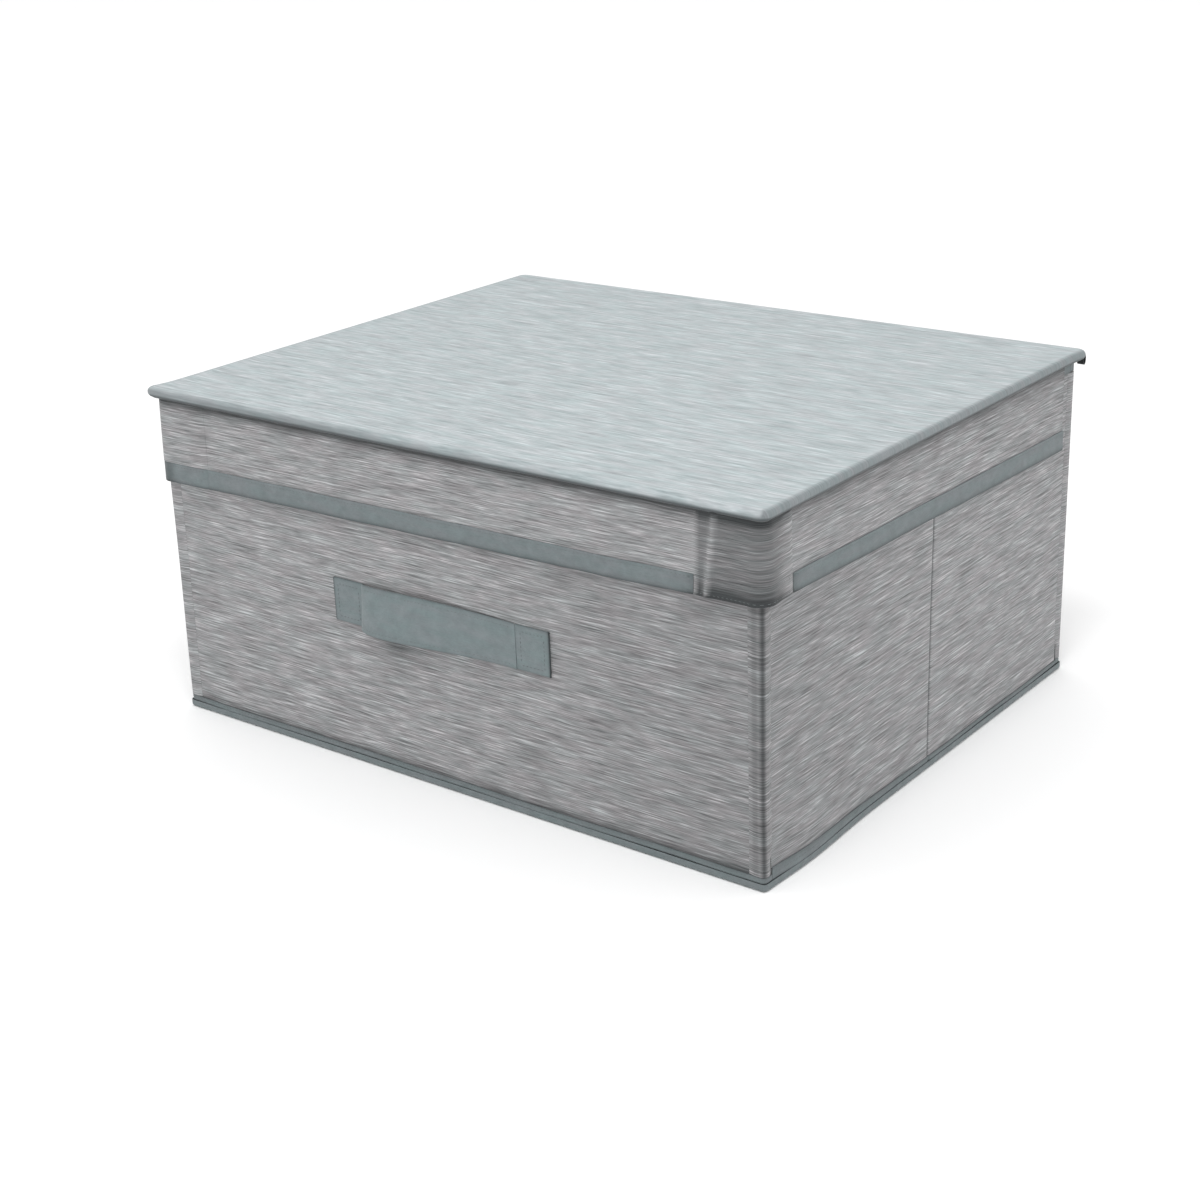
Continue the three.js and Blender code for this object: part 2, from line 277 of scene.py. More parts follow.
# The lid's print is a lighter, cooler copy of the wall's: partly the print's own paler tone, and partly
# painted light for the lid's upward face, on top of what the lamp gives.
lid_print = streaked_print(
    "printed_nonwoven_lid", [(0.37, "#868D8F"), (0.45, "#9CA3A5"), (0.5, "#A6ADAF"), (0.55, "#B0B7B9"),
                             (0.63, "#C8CED0")],
    LID_STREAKS, (0.38, 0.3, 0.2, 0.12), 0.85, "#FFFDFE", "#F5FBFB", "#4A5154", bump=0.3)
print("printed cloths", wall_print.name, lid_print.name)

# %% [markdown]
# ## Plain cloths, thread and board
# The tape and the lining are the same spun-bonded cloth without a print: one colour with cloudy fibre
# density and the pressed points in relief. The thread is spun polyester, so it has no shine. The
# boards inside are recycled greyboard, brown-grey with darker specks of old print.


# %% Plain cloths, thread and board
def plain_nonwoven(name, thin, dense, shadow, bump):
    """Unprinted spun-bonded cloth, thinner and denser in clouds about 8 mm across."""
    material, tree, shader = new_material(
        name, roughness=0.8, Sheen_Weight=0.15, Sheen_Roughness=0.5, IOR=1.49)
    cut = add_node(tree, "UVMap", uv_map="cut").outputs["UV"]
    clouds = math_of(tree, "ADD", math_of(tree, "MULTIPLY", noise(tree, cut, 9, 7, detail=4.0), 0.65),
                     math_of(tree, "MULTIPLY", noise(tree, cut, 3.2, 0.8, detail=2.0), 0.35))
    density = add_node(tree, "MapRange", {"Value": clouds, "From Min": 0.36, "From Max": 0.64})
    ground = add_node(tree, "Mix", {"Factor": density.outputs["Result"], 6: linear(thin), 7: linear(dense)},
                      data_type="RGBA")
    colour = tinted(tree, ground.outputs[2], cut, "#FFFCFD", "#F6FCFB", shadow)
    raised = add_node(tree, "Bump", {"Height": pressed_points(tree, cut, 1.6, fibres=1.0), "Strength": bump,
                                     "Distance": 0.18 * MM})
    tree.links.new(colour, shader.inputs["Base Color"])
    tree.links.new(raised.outputs["Normal"], shader.inputs["Normal"])
    return material


tape_cloth = plain_nonwoven("plain_nonwoven_tape", "#646C6E", "#727A7C", "#4E5556", bump=0.5)
strap_cloth = plain_nonwoven("plain_nonwoven_strap", "#687274", "#747E80", "#4E5556", bump=0.5)
lining_cloth = plain_nonwoven("plain_nonwoven_lining", "#8A8E90", "#9A9EA0", "#6C7072", bump=0.6)

spun_thread, tree, shader = new_material("spun_polyester_thread", roughness=0.7)
here = add_node(tree, "TexCoord").outputs["Object"]
lay_of_thread = add_node(tree, "TexNoise", {"Vector": here, "Scale": 900.0, "Detail": 2.0}).outputs["Fac"]
thread_colour = add_node(tree, "Mix", {"Factor": lay_of_thread, 6: linear("#535859"), 7: linear("#767C7D")},
                         data_type="RGBA").outputs[2]
tree.links.new(thread_colour, shader.inputs["Base Color"])

greyboard, tree, shader = new_material("recycled_greyboard", roughness=0.9)
here = add_node(tree, "TexCoord").outputs["Object"]
pulp = add_node(tree, "TexNoise", {"Vector": here, "Scale": 450.0, "Detail": 5.0}).outputs["Fac"]
speck = add_node(tree, "TexVoronoi", {"Vector": here, "Scale": 260.0}).outputs["Distance"]
specks = add_node(tree, "MapRange", {"Value": speck, "From Min": 0.08, "From Max": 0.22}).outputs["Result"]
board_colour = add_node(tree, "Mix", {"Factor": pulp, 6: linear("#8A7660"), 7: linear("#B39C82")},
                        data_type="RGBA").outputs[2]
speckled = add_node(tree, "Mix", {"Factor": specks, 6: linear("#5E5548"), 7: board_colour},
                    data_type="RGBA").outputs[2]
tree.links.new(speckled, shader.inputs["Base Color"])
grain = add_node(tree, "Bump", {"Height": pulp, "Strength": 0.4, "Distance": 0.2 * MM})
tree.links.new(grain.outputs["Normal"], shader.inputs["Normal"])

sweep, tree, shader = new_material("white_paper_sweep", roughness=0.9)
shader.inputs["Base Color"].default_value = linear("#FCFCFC")
floor.data.materials.append(sweep)

# %% [markdown]
# ## The cutting table
# `cut_cloth` is a grid primitive whose columns and rows are moved to where detail is needed: far apart
# on flat cloth, close together where it will bend. Its UV map is the flat cut itself, in metres, and
# each cut starts at another place of the bolt, so no two panels show the same streaks, unless they
# are meant to run on. Solidify gives the thickness while the cloth still lies flat. `lay` then moves
# every point to the box. `hill` is the smooth bump that most folds, bulges and marks are made of.

# %% Cut, lay and sew
cuts = itertools.count()


def lines(low, high, step, bends=(), reach=3 * MM, fine=0.5 * MM):
    """Places of grid lines from low to high, a step apart, and finer near each bend."""
    close = [b + np.arange(-reach, reach + fine / 2, fine) for b in bends]
    even = np.linspace(low, high, max(2, round((high - low) / step) + 1))
    kept = [p for p in even[1:-1] if all(abs(p - b) > reach for b in bends)]
    inside = [p for group in close for p in group if low < p < high]
    places = np.unique(np.round([low, high, *kept, *inside], 6))
    gaps = np.diff(places, prepend=-1)
    return places[(gaps > 0.2 * MM) | (places == places[0])]


def hill(x, middle, reach):
    """A smooth hill: 1 at its middle, and about a third as high that reach away from it."""
    return np.exp(-((x - middle) / reach) ** 2)


def points_of(piece):
    """The piece's points, one row each."""
    flat = np.empty(len(piece.data.vertices) * 3)
    piece.data.vertices.foreach_get("co", flat)
    return flat.reshape(-1, 3)


def move_points(piece, points):
    """Puts the piece's points at these places."""
    piece.data.vertices.foreach_set("co", np.asarray(points, float).ravel())
    piece.data.update()


def apply_modifiers(piece):
    """Makes the active piece's modifiers part of its mesh."""
    for modifier in list(piece.modifiers):
        bpy.ops.object.modifier_apply(modifier=modifier.name)


def cut_cloth(name, columns, rows, thickness, number=None):
    """A flat cut of cloth on the table: u across, v up, and its thickness above the table.

    Cuts with the same number lie at the same place of the bolt, so their streaks run on."""
    bpy.ops.object.select_all(action="DESELECT")
    bpy.ops.mesh.primitive_grid_add(x_subdivisions=len(columns) - 1, y_subdivisions=len(rows) - 1, size=2)
    cloth = bpy.context.object
    cloth.name = cloth.data.name = name
    at = points_of(cloth)
    at[:, 0] = np.take(columns, np.rint((at[:, 0] + 1) / 2 * (len(columns) - 1)).astype(int))
    at[:, 1] = np.take(rows, np.rint((at[:, 1] + 1) / 2 * (len(rows) - 1)).astype(int))
    move_points(cloth, at)
    corner_of = np.empty(len(cloth.data.loops), int)
    cloth.data.loops.foreach_get("vertex_index", corner_of)
    number = next(cuts) if number is None else number
    start_on_bolt = np.array([0.37 * number, 0.53 * (number % 7)])
    cloth.data.uv_layers[0].name = "cut"
    cloth.data.uv_layers[0].data.foreach_set("uv", (at[corner_of, :2] + start_on_bolt).ravel())
    thick = cloth.modifiers.new("thickness", "SOLIDIFY")
    thick.thickness, thick.offset = thickness, 1
    apply_modifiers(cloth)
    bpy.ops.object.shade_smooth_by_angle(angle=math.radians(50))
    cloth["flat"] = (float(columns[-1] - columns[0]), float(rows[-1] - rows[0]))
    return cloth


def paint_shade_and_tone(piece, amount):
    """Paints the cloth darker by amount(u, v), from 0 to 1, while it is still flat: mostly painted shade, in
    a few places darker cloth.
    """
    u, v, _ = points_of(piece).T
    mark = piece.data.attributes.new("painted_shade_and_tone", "FLOAT", "POINT")
    mark.data.foreach_set("value", np.clip(amount(u, v) + 0 * u, 0, 1).astype(np.float32))


def lay(piece, place, lift=0.0):
    """Moves every point of a flat piece to its place on the box, lift above the cloth it lies on."""
    u, v, h = points_of(piece).T
    move_points(piece, place(u, v, h + lift))


def finish_piece(piece, material, bodies, stands_for=(), bend=None):
    """Gives a laid piece its material and the body it rides on; a piece given a bend is only fixed where it
    lies, on no body.
    """
    piece.data.materials.clear()
    piece.data.materials.append(material)
    if bend:
        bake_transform(piece)
    else:
        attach(piece, bodies[0])
    if stands_for:
        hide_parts(*stands_for)
    return piece


# %% [markdown]
# ## Stitches
# A stitch seen from outside is a short fat dash of thread that dips into the cloth at both ends. One
# low sphere is drawn out into that dash, an Array modifier repeats it along the row, and the flat row
# is laid by the same rule as its cloth. Real lockstitch is about 3 mm long, and so is this.

# %% Stitch rows
STITCH, THREAD = 3.0 * MM, 0.55 * MM


def stitch_row(start, end, pitch=STITCH, length=0.72, thread=THREAD):
    """A flat row of stitches from (u, v) to (u, v); length is the share of the pitch that shows."""
    start, run = np.array(start, float), np.array(end, float) - np.array(start, float)
    far = float(np.hypot(*run))
    bpy.ops.object.select_all(action="DESELECT")
    bpy.ops.mesh.primitive_uv_sphere_add(segments=6, ring_count=4, radius=0.5)
    row = bpy.context.object
    dash = (pitch * length, thread, thread * 0.8)
    move_points(row, points_of(row)[:, [2, 0, 1]] * dash + (pitch / 2, 0, 0))
    repeat = row.modifiers.new("repeat", "ARRAY")
    repeat.use_relative_offset, repeat.use_constant_offset = False, True
    repeat.constant_offset_displace, repeat.count = (pitch, 0, 0), max(1, int(far / pitch))
    apply_modifiers(row)
    bpy.ops.object.shade_smooth()
    along = run / far
    x, y, z = points_of(row).T
    u = start[0] + along[0] * x - along[1] * y
    v = start[1] + along[1] * x + along[0] * y
    move_points(row, np.stack([u, v, z], axis=1))
    return row


def joined(name, pieces):
    """Several pieces made one."""
    bpy.ops.object.select_all(action="DESELECT")
    for piece in pieces:
        piece.select_set(True)
    bpy.context.view_layer.objects.active = pieces[0]
    if len(pieces) > 1:
        bpy.ops.object.join()
    pieces[0].name = pieces[0].data.name = name
    return pieces[0]


def stitching(name, rows, place, lift, bodies, bend=None):
    """Rows of stitches laid on a cloth, as one piece."""
    made = joined(name, [stitch_row(*row) for row in rows])
    lay(made, place, lift)
    return finish_piece(made, spun_thread, bodies, bend=bend)


# %% [markdown]
# ## Where an upright wall puts its cloth
# A point of the flat cut is known by u along the wall, v up and h out from it. `upright` turns that
# into a place, and past the end of the wall it carries the cloth round the corner on a small radius.
# `puckers` adds the slight unevenness that cloth has even over a board, from a few long crossed waves.

# %% Places on the walls
SIDES = {  # each side's direction along the wall, and out from it
    "front": ((1, 0), (0, -1)),
    "right": ((0, 1), (1, 0)),
    "back": ((-1, 0), (0, 1)),
    "left": ((0, -1), (-1, 0)),
}


def puckers(seed, most, shortest=0.07, longest=0.22):
    """A soft unevenness from 0 to most, in metres."""
    draw = np.random.default_rng(seed)
    whole = 2 * math.pi
    waves = [(whole / draw.uniform(shortest, longest), draw.uniform(0, math.pi), draw.uniform(0, whole))
             for _ in range(5)]

    def relief(u, v):
        total = sum(np.sin(k * (u * math.cos(turn) + v * math.sin(turn)) + shift)
                    for k, turn, shift in waves)
        return most * (0.5 + total / 10)
    return relief


def upright(side, half, face, corner, relief):
    """The rule that lays cloth on one side: half its width, how far out it is, and its corner radius.

    The relief belongs to the outer cloth, so it fades to nothing at the depth of the lining."""
    along, out = SIDES[side]

    def place(u, v, h):
        past_bend = np.abs(u) - (half - corner)
        turn = np.clip(past_bend / corner, 0, math.pi / 2)
        straight_on = np.maximum(past_bend - corner * math.pi / 2, 0)
        radius = corner + h + relief(u, v) * np.clip(1 + h / WALL, 0, 1)
        across = np.sign(u) * (np.minimum(np.abs(u), half - corner) + radius * np.sin(turn))
        depth = face - corner + radius * np.cos(turn) - straight_on
        return np.stack([along[0] * across + out[0] * depth, along[1] * across + out[1] * depth, v], axis=1)
    return place


def folded_over(place, edge, rising, inner, outer, bend=1.0 * MM, ends_in=0.0, leg_growth=None):
    """The rule for tape folded over an edge of a wall: its rows run from one leg over it to the other.

    rising is 1 over the lower edge and -1 over the upper one; inner and outer are the wall's faces,
    ends_in is how much shorter the inner leg is, and leg_growth(u) how much longer the outer one."""
    middle, half = (outer + inner) / 2, (outer - inner) / 2

    def place_tape(u, s, h):
        side = np.sign(s) * rising
        past_bend = np.abs(s) - (half - bend)
        turn = np.clip(past_bend / bend, 0, math.pi / 2)
        leg = np.maximum(past_bend - bend * math.pi / 2, 0)
        if leg_growth:
            leg = np.where(side > 0, leg * leg_growth(u), leg)
        across = side * (np.minimum(np.abs(s), half - bend) + (bend + h) * np.sin(turn))
        rise = bend - (bend + h) * np.cos(turn) + leg
        inward = np.clip(0.5 - across / (2 * half), 0, 1)
        return place(u * (1 - ends_in * inward), edge + rising * rise, middle + across)
    return place_tape


CLOTH = 0.8 * MM
TAPE = 0.6 * MM
GAP = 0.3 * MM
front_low, front_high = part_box("front_cover")
HALF_X, FACE_Y = front_high.x, -front_low.y
side_low, side_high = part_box("front_right_cover")
HALF_Y, FACE_X = -side_low.y, side_high.x
WALL_LOW, WALL_TOP = front_low.z, front_high.z
WALL = FACE_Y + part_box("front_lining")[1].y
CORNER = 2.0 * MM
FADE = 25 * MM  # a relief dies away over this much of the cloth


def nothing(u, v):
    """No unevenness, or no mark, anywhere on a cloth."""
    return 0 * u


def flat_at_ends(relief, end, top):
    """The same relief, fading to nothing over the last stretch before each end and below the top."""
    return lambda u, v: relief(u, v) * np.clip(np.minimum(end - np.abs(u), top - v) / FADE, 0, 1)


SLUMP = 2.6 * MM  # less than the 3 mm between two half walls when the box is folded


def slumped(at):
    """The body's loose lower edge: out a little on the right near the front, and at the left corner."""
    x, y, z = at.T
    belly = hill(y, -0.15, 0.045) * hill(z, 0, 0.04) * np.clip((x - 0.24) / (6 * MM), 0, 1)
    spread = hill(y, -0.2, 0.09) * hill(z, 0, 0.09) * np.clip((-x - 0.12) / 0.13, 0, 1) ** 2
    outer_cloth = np.where(y < -0.1965, 1, np.clip((-x - 0.2455) / (1.5 * MM), 0, 1))
    at[:, 0] += SLUMP * (belly - outer_cloth * spread)
    return at


def body_side(side, half, face, relief):
    """The rule for one side of the body."""
    place = upright(side, half, face, CORNER, relief)
    return lambda u, v, h: slumped(place(u, v, h))


relief_of = {}
place_on = {}
for seed, side in enumerate(SIDES):
    half, face = (HALF_X, FACE_Y) if side in ("front", "back") else (FACE_Y, FACE_X)
    sewn_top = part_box("hinge_cloth")[0].z if side == "back" else WALL_TOP + FADE
    relief_of[side] = flat_at_ends(puckers(seed, 0.9 * MM), half - 7 * MM, sewn_top)
    place_on[side] = body_side(side, half, face, relief_of[side])
print("body", round(2 * HALF_X / MM), "by", round(2 * FACE_Y / MM), "mm")
print("wall", round(WALL / MM, 1), "mm thick")

# %% [markdown]
# ## The front and back walls
# Each long wall is a printed cover outside and a plain lining inside, with the board of the frame
# between them. The cover goes round each upright corner by a few millimetres, where the seam strip
# holds it down. Both could be left as the frame's flat plates, but cloth over board is never quite
# flat, and it is the slow change of light over it that shows this.

# %% Front and back covers and linings
def lining_waves(length):
    """A lining's faint waves towards the board, at that length."""
    return lambda u, v: -0.2 * MM * np.sin(u / length) ** 2


STRAP_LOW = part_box("handle_grip")[0].z


def painted_shade_over_tape(v):
    """Painted shade on the cover's lowest part, darkest just above the tape's edge."""
    return 0.8 * np.exp(-np.maximum(v - TAPE_TOP - 0.3 * MM, 0) / (1.3 * MM))


def painted_strap_shadow(u, v):
    """A painted shadow on the cover below the left half of the handle, where its slack stands off most."""
    return 0.75 * hill(u, -38 * MM, 14 * MM) * hill(v, STRAP_LOW - 8.5 * MM, 5 * MM)


ROUND_CORNER = HALF_X - CORNER + CORNER * math.pi / 2
TAPE_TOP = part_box("front_bottom_binding")[1].z
for side, body in (("front", "front_wall"), ("back", "base")):
    cover = cut_cloth(f"{side}_outer_cloth", lines(-ROUND_CORNER, ROUND_CORNER, 5 * MM, (-HALF_X, HALF_X)),
                      lines(WALL_LOW, WALL_TOP, 5 * MM), CLOTH)
    on_front = side == "front"
    # Painted shade on the front cover: just above the tape, darker towards its right end, and the handle's
    # painted shadow.
    paint_shade_and_tone(cover, lambda u, v: painted_shade_over_tape(v) +
          on_front * (0.22 * np.clip(u / 0.24, 0, 1) + painted_strap_shadow(u, v)))
    lay(cover, place_on[side], -CLOTH)
    finish_piece(cover, wall_print, [body], [f"{side}_cover"])

    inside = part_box(f"{side}_lining")
    lining = cut_cloth(f"{side}_inner_cloth", lines(-inside[1].x, inside[1].x, 6 * MM),
                       lines(WALL_LOW, WALL_TOP, 6 * MM), TAPE)
    lay(lining, upright(side, HALF_X, FACE_Y - WALL, CORNER, lining_waves(30 * MM)))
    finish_piece(lining, lining_cloth, [body], [f"{side}_lining"])
    print(side, "cover cut", [round(x / MM) for x in cover["flat"]], "mm")

# %% [markdown]
# ## The two side walls
# A side wall creases inwards at its middle when the box is folded flat, and its cloth runs through the
# crease in one piece. So each cover is one cut from front to back, laid over both half walls. A row
# of stitches down the crease keeps the boards apart, and the cloth is drawn in there.

# %% Side covers and linings
CREASE = 3 * MM


def crease_of(sign):
    """Start and end of the bend between the rear and the front half of a side wall."""
    return (sign * FACE_X, CREASE, 0.1), (sign * FACE_X, -CREASE, 0.1)


def drawn_in(relief, depth):
    """Relief that is also drawn in along the stitched crease."""
    return lambda u, v: relief(u, v) - depth * hill(u, 0, 1.1 * MM)


for side, sign in (("right", 1), ("left", -1)):
    halves = [f"rear_{side}_half", f"front_{side}_half"]
    bend = crease_of(sign)
    relief_of[side] = drawn_in(relief_of[side], 0.7 * MM)
    place_on[side] = body_side(side, FACE_Y, FACE_X, relief_of[side])
    cover = cut_cloth(f"{side}_outer_cloth", lines(-HALF_Y, HALF_Y, 5 * MM, (0,), 4 * MM),
                      lines(WALL_LOW, WALL_TOP, 5 * MM), CLOTH)
    # Painted shade: a dark line down the stitched crease, and the side darker towards its front end.
    paint_shade_and_tone(cover, lambda u, v: 0.75 * hill(u, 0, 0.8 * MM) + 0.16 * np.clip(-sign * u / 0.18, 0, 1))
    lay(cover, place_on[side], -CLOTH)
    finish_piece(cover, wall_print, halves, [f"front_{side}_cover", f"rear_{side}_cover"],
                 bend)
    rows = [((0, WALL_LOW + 12 * MM), (0, WALL_TOP - 14 * MM), 3 * MM, 0.6, 0.4 * MM)]
    seam = stitching(f"{side}_crease_stitches", rows, place_on[side], 0.0, halves, bend)

    lining = cut_cloth(f"{side}_inner_cloth", lines(-HALF_Y, HALF_Y, 6 * MM, (0,), 4 * MM),
                       lines(WALL_LOW, WALL_TOP, 6 * MM), TAPE)
    lay(lining, upright(side, FACE_Y, FACE_X - WALL, CORNER, lining_waves(28 * MM)))
    finish_piece(lining, lining_cloth, halves,
                 [f"front_{side}_lining", f"rear_{side}_lining"], bend)
    print(side, "cover cut", [round(x / MM) for x in cover["flat"]], "mm")

# %% [markdown]
# ## Edge bindings
# Tape is folded over the lower edge of every wall, and over the rim, and sewn through. It is cut flat
# like the rest, and `folded_over` carries it round the edge. On the real box the sewing pulls
# the lower tape into a faint wave, and on the sides it is wider towards the front corner.

# %% Bindings on the lower edge and the rim
bottom_low, bottom_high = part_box("front_bottom_binding")
rim_low, rim_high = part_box("front_rim_binding")
BOTTOM_EDGE, RIM_EDGE = bottom_low.z + TAPE, rim_high.z - TAPE
FINE_STITCH = (3 * MM, 0.6, 0.35 * MM)  # pitch, share of it that shows, thread
FOLD_HALF = WALL / 2 + GAP


def tape_growth(front_end):
    """How much longer the outer leg is towards the front corner of a side wall."""
    return lambda u: 0.75 + 1.7 * np.clip(1 - np.abs(u - front_end) / 0.22, 0, 1) ** 1.3


def sagging(place, size, seed):
    """The same place, with the tape a little higher here and there along the wall."""
    wave = puckers(seed, size, 0.09, 0.17)
    return lambda u, v, h: place(u, v + wave(u, 0 * u), h)


EDGES = (("bottom", BOTTOM_EDGE, 1, bottom_high.z - bottom_low.z, 1.0 * MM),
         ("rim", RIM_EDGE, -1, rim_high.z - rim_low.z, 0.1 * MM))
for seed, side in enumerate(SIDES):
    if side in ("front", "back"):
        bodies, nodes, bend = ["front_wall" if side == "front" else "base"], [side], None
        end, bends, ends_in = ROUND_CORNER + 4.8 * MM, (-HALF_X, HALF_X), 0.034
    else:
        bodies, nodes = [f"rear_{side}_half", f"front_{side}_half"], [f"front_{side}", f"rear_{side}"]
        bend = crease_of(1 if side == "right" else -1)
        end, bends, ends_in = HALF_Y, (0,), 0.0
    columns = lines(-end, end, 5 * MM, bends, 4 * MM)
    for edge_name, edge, rising, leg, sag in EDGES:
        tape_half = FOLD_HALF + leg - 1.4 * MM
        tape_rows = lines(-tape_half, tape_half, 1.5 * MM, (-FOLD_HALF, FOLD_HALF), 1.4 * MM, 0.35 * MM)
        growth = tape_growth(-end if side == "right" else end) if bend and edge_name == "bottom" else None
        rule = folded_over(sagging(place_on[side], sag, 40 + seed), edge, rising, -WALL - GAP, GAP,
                           ends_in=ends_in, leg_growth=growth)
        tape = cut_cloth(f"{side}_{edge_name}_tape", columns, tape_rows, TAPE)
        # Painted shade along the tape's two edges.
        paint_shade_and_tone(tape, lambda u, v: 0.35 * np.exp(-(tape_half - np.abs(v)) / (0.9 * MM)))
        lay(tape, rule)
        finish_piece(tape, tape_cloth, bodies, [f"{n}_{edge_name}_binding" for n in nodes],
                     bend)
        seam_row = rising * (tape_half - 1.6 * MM)
        rows = [((-end + 2 * MM, v), (end - 2 * MM, v), *FINE_STITCH) for v in (seam_row, -seam_row)]
        stitches = stitching(f"{side}_{edge_name}_stitches", rows, rule, TAPE, bodies, bend)
        print(side, edge_name, "tape", round(2 * tape_half / MM, 1), "mm wide")

# %% [markdown]
# ## Upright corner seams
# Where two walls meet, a strip of the same print covers the joint: 10 mm on the long wall, round the
# corner, and a little of the side. It rides on the long wall and only lies on the side, so the corner
# can still hinge. It is whipped down over the corner with short cross stitches.

# %% Corner strips
strip_low, strip_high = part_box("front_corner_seam_right")
STRIP = HALF_X - strip_low.x
MID_BEND = HALF_X - CORNER + CORNER * math.pi / 4
RETURN = 6.6 * MM


def strip_place(side):
    """The wall's own rule, but the strip's return leg is shorter at the bottom, beside the tape."""
    def place(u, v, h):
        share = np.clip((np.abs(u) - ROUND_CORNER) / RETURN, 0, 1) * np.clip((26 * MM - v) / (6 * MM), 0, 1)
        to_edge = np.minimum(np.abs(u) - HALF_X + STRIP, ROUND_CORNER + RETURN - np.abs(u))
        thin = np.clip(to_edge / (4 * MM), 0.1, 1)
        return place_on[side](u - np.sign(u) * 2.4 * MM * share, v, h * thin)
    return place


for side, body in (("front", "front_wall"), ("back", "base")):
    for name, sign in (("left", -1), ("right", 1)):
        turn = sign if side == "front" else -sign
        ends = sorted([turn * (HALF_X - STRIP), turn * (ROUND_CORNER + RETURN)])
        strip = cut_cloth(f"{side}_corner_strip_{name}", lines(*ends, 2 * MM, (turn * HALF_X,), 4 * MM),
                          lines(strip_low.z, strip_high.z, 5 * MM), CLOTH)
        # Painted shade down the corner's bend, with a softer band beside it; the near front strip is also a
        # little darker all over.
        ground, dark = (0.2, 1) if (side, name) == ("front", "right") else (0, 0.15)
        paint_shade_and_tone(strip, lambda u, v: ground + dark * (0.65 * hill(np.abs(u), MID_BEND, 1.2 * MM) +
                                                   0.3 * hill(np.abs(u), MID_BEND - 4.5 * MM, 2.5 * MM)))
        lay(strip, strip_place(side), GAP)
        finish_piece(strip, wall_print, [body], [f"{side}_corner_seam_{name}"])
        ticks = [((turn * (MID_BEND + 0.6 * MM), v), (turn * (MID_BEND - 2.4 * MM), v))
                 for v in np.arange(strip_low.z + 4 * MM, strip_high.z, 4.5 * MM)]
        made = joined(f"{side}_whip_stitches_{name}",
                      [stitch_row(a, b, pitch=3 * MM, length=0.9, thread=0.4 * MM) for a, b in ticks])
        lay(made, place_on[side], GAP + CLOTH - 0.1 * MM)
        finish_piece(made, spun_thread, [body])

# %% [markdown]
# ## The strap handle
# A strap of doubled tape has both ends sewn flat to the wall, and its middle is longer than the span,
# so it stands off. The slack has settled towards the left end, and the strap's lower edge hangs
# further out than its upper edge.

# %% Handle tabs and grip
grip_low, grip_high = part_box("handle_grip")
GRIP_HALF, STRAP = grip_high.x, 1.4 * MM
STRAP_MIDDLE = (grip_low.z + grip_high.z) / 2
BOW = grip_high.y - grip_low.y - STRAP - 4 * MM
strap_rows = lines(grip_low.z, grip_high.z, 3 * MM, (grip_low.z, grip_high.z), 1.5 * MM, 0.5 * MM)


def soft_edged(u, v, h, low, high):
    """Thins a strap towards its two long folded edges, so that they are round."""
    inset = np.clip(np.minimum(v - low, high - v) / (1.2 * MM), 0, 1)
    return STRAP / 2 + (h - STRAP / 2) * np.sqrt(np.clip(1 - (1 - inset) ** 2, 0.04, 1))


def strap_bow(t):
    """How far the middle of the strap stands off, from 0 to 1, as t runs from its left to its right end."""
    return t ** 0.45 * (1 - t) ** 1.6 / (0.22 ** 0.45 * 0.78 ** 1.6)


def place_grip(u, v, h):
    """The rule that lays the grip in its bow, tilted and lifted a little in the middle."""
    t = np.clip((u + GRIP_HALF) / (2 * GRIP_HALF), 0, 1)
    ahead, behind = np.clip(t + 0.004, 0, 1), np.clip(t - 0.004, 0, 1)
    slope = BOW * (strap_bow(ahead) - strap_bow(behind)) / ((ahead - behind) * 2 * GRIP_HALF)
    lean = np.arctan(slope)
    height = soft_edged(u, v, h, grip_low.z, grip_high.z)
    tilt = 0.3 * strap_bow(t) * (STRAP_MIDDLE - v)
    out = FACE_Y + 1.0 * MM + BOW * strap_bow(t) + tilt + height * np.cos(lean)
    return np.stack([1.003 * u - height * np.sin(lean), -out, v + 1.5 * MM * np.sin(math.pi * t)], axis=1)


grip_columns = GRIP_HALF * np.sin(np.linspace(-math.pi / 2, math.pi / 2, 61))
grip = cut_cloth("strap_grip", grip_columns, strap_rows, STRAP)
# Painted shade along the strap's two folded edges.
paint_shade_and_tone(grip, lambda u, v: 0.4 * np.exp(-np.minimum(v - grip_low.z, grip_high.z - v) / (0.8 * MM)))
edge_rows = [((-GRIP_HALF + 3 * MM, v), (GRIP_HALF - 3 * MM, v), *FINE_STITCH)
             for v in (grip_low.z + 3 * MM, grip_high.z - 3 * MM)]
grip_seams = joined("strap_grip_stitches", [stitch_row(*row) for row in edge_rows])
for piece, lift in ((grip, 0.0), (grip_seams, STRAP)):
    lay(piece, place_grip, lift)
strap_bend = (0, -FACE_Y - 1 * MM, STRAP_MIDDLE), (0, -FACE_Y - 1 * MM - BOW, STRAP_MIDDLE)
finish_piece(grip, strap_cloth, ["front_wall", "handle"], ["handle_grip"], bend=strap_bend)
finish_piece(grip_seams, spun_thread, ["front_wall", "handle"], bend=strap_bend)

